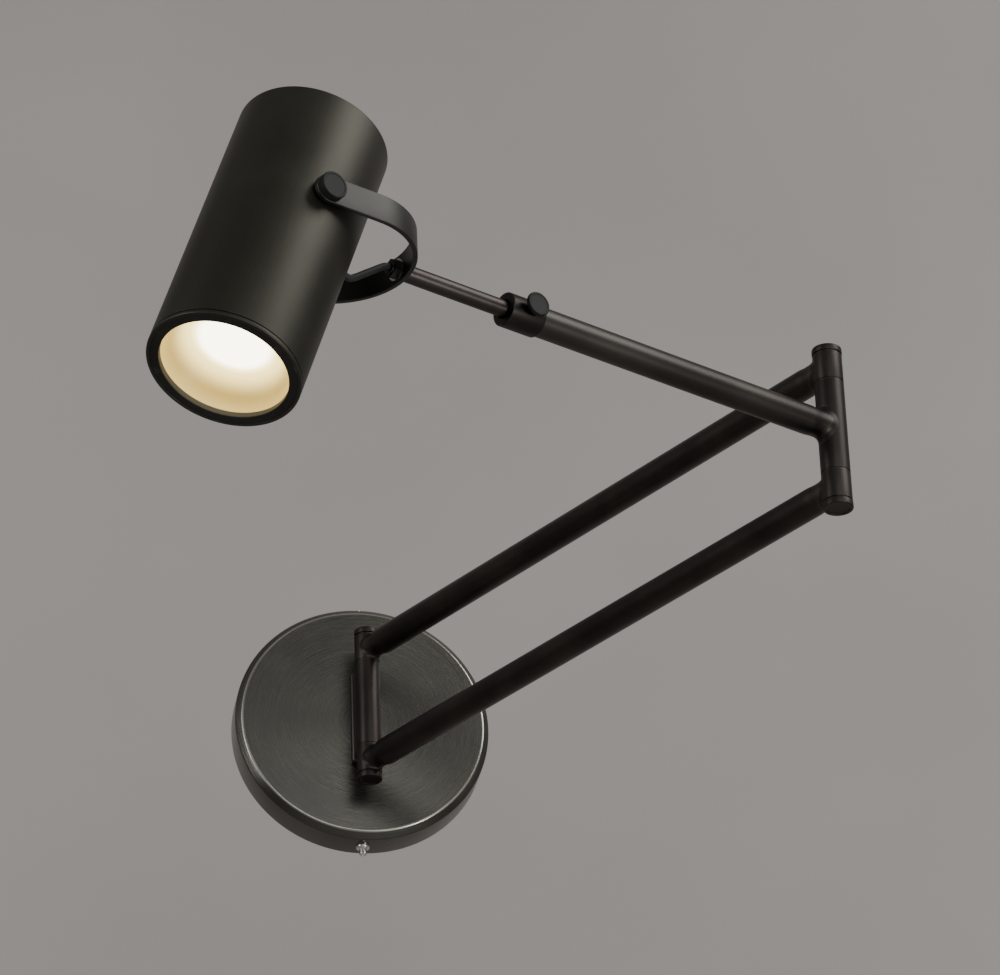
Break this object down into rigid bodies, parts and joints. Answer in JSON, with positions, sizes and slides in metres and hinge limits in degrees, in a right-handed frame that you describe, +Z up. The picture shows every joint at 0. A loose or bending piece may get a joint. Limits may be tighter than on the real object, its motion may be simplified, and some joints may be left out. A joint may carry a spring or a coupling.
{
  "type": "swing arm wall sconce",
  "caption": "Wall light with a double swing arm, a folding forearm with a sliding rod, and a cylindrical spot shade that tilts in a yoke",
  "frame": {"origin": "Centre of the canopy's back, in the plane of the wall, midway between the two wall screw slots", "axes": "+Y points into the wall, the light reaches out along -Y, +X is to the right seen from the room and +Z is up"},
  "size_m": [0.3134, 0.4854, 0.1484],
  "materials": {
    "brushed_gunmetal": "brushed, satin",
    "black_bronze": "satin",
    "olive_bronze": "satin, brushed lengthways",
    "grey_strap": "satin",
    "brown_steel": "satin",
    "flat_black": "matt",
    "bright_nickel": "bright",
    "plain_steel": "plain",
    "zinc_steel": "zinc plated",
    "green_screw": "green",
    "bearing_bronze": "plain",
    "insert_brass": "plain",
    "white_plastic": "satin",
    "black_rubber": "matt",
    "cream_reflector": "satin",
    "lamp_metal": "satin",
    "lit_lens": "frosted, lit"
  },
  "bodies": {
    "wall_mount": {"canopy": "brushed_gunmetal", "mounting_bar": "zinc_steel", "ground_screw": "green_screw", "terminal_block": "white_plastic", "wire_bush": "black_rubber", "canopy_screw_top": "bright_nickel", "canopy_screw_bottom": "bright_nickel", "canopy_nut_top": "bright_nickel", "canopy_nut_bottom": "bright_nickel", "pivot_bracket": "black_bronze", "bracket_screw_top": "plain_steel", "bracket_screw_bottom": "plain_steel", "wall_bush_top": "bearing_bronze", "wall_bush_bottom": "bearing_bronze"},
    "arm": {"upper_arm_tube": "black_bronze", "lower_arm_tube": "black_bronze", "wall_fitting_top": "black_bronze", "wall_fitting_bottom": "black_bronze", "elbow_fitting_top": "black_bronze", "elbow_fitting_bottom": "black_bronze", "wall_pin": "plain_steel", "elbow_pin": "plain_steel", "wall_cap_top": "black_bronze", "wall_cap_bottom": "black_bronze", "elbow_cap_top": "black_bronze", "elbow_cap_bottom": "black_bronze"},
    "forearm": {"elbow_knuckle": "black_bronze", "elbow_bush_top": "bearing_bronze", "elbow_bush_bottom": "bearing_bronze", "forearm_tube": "black_bronze", "rod_collar": "black_bronze"},
    "lock_knob": {"rod_lock_knob": "flat_black"},
    "rod": {"slide_rod": "brown_steel", "rod_stop": "white_plastic", "yoke_nut": "flat_black", "yoke_washer": "bright_nickel"},
    "yoke": {"yoke_strap": "grey_strap", "tilt_washer_near": "black_rubber", "tilt_washer_far": "black_rubber", "lamp_lead": "black_rubber"},
    "shade": {"shade_shell": "olive_bronze", "front_bezel": "flat_black", "reflector": "cream_reflector", "lamp_lens": "lit_lens", "lamp_body": "lamp_metal", "lamp_holder": "white_plastic", "lamp_carrier": "zinc_steel", "back_cap": "flat_black", "back_cap_screw_1": "plain_steel", "back_cap_screw_2": "plain_steel", "back_cap_screw_3": "plain_steel", "pivot_insert_near": "insert_brass", "pivot_insert_far": "insert_brass", "lead_grommet": "black_rubber"},
    "tilt_knob_near": {"tilt_knob_near": "flat_black"},
    "tilt_knob_far": {"tilt_knob_far": "flat_black"}
  },
  "joints": [
    {"name": "wall_swing", "type": "hinge", "parent": "wall_mount", "child": "arm", "pos_m": [0, -0.0343, 0], "axis": [0, 0, 1], "range_deg": [-115, 55]},
    {"name": "elbow_swing", "type": "hinge", "parent": "arm", "child": "forearm", "pos_m": [0.159, -0.3097, 0], "axis": [0, 0, 1], "range_deg": [-60, 240]},
    {"name": "rod_slide", "type": "slide", "parent": "forearm", "child": "rod", "axis": [-0.8862, -0.4633, 0], "range_m": [-0.045, 0.06]},
    {"name": "lock_knob_turn", "type": "hinge", "parent": "forearm", "child": "lock_knob", "pos_m": [0.01233, -0.38637, 0], "axis": [0.4633, -0.8862, 0], "range_deg": [-15, 360]},
    {"name": "yoke_roll", "type": "hinge", "parent": "rod", "child": "yoke", "pos_m": [-0.04172, -0.41463, 0], "axis": [-0.8862, -0.4633, 0], "range_deg": [-170, 170]},
    {"name": "shade_tilt", "type": "hinge", "parent": "yoke", "child": "shade", "pos_m": [-0.09401, -0.44197, 0], "axis": [-0.4633, 0.8862, 0], "range_deg": [-65, 28], "deforming": ["lamp_lead"]},
    {"name": "tilt_knob_near_turn", "type": "hinge", "parent": "shade", "child": "tilt_knob_near", "pos_m": [-0.09401, -0.44197, 0], "axis": [0.4633, -0.8862, 0], "range_deg": [-15, 360]},
    {"name": "tilt_knob_far_turn", "type": "hinge", "parent": "shade", "child": "tilt_knob_far", "pos_m": [-0.09401, -0.44197, 0], "axis": [-0.4633, 0.8862, 0], "range_deg": [-15, 360]}
  ]
}
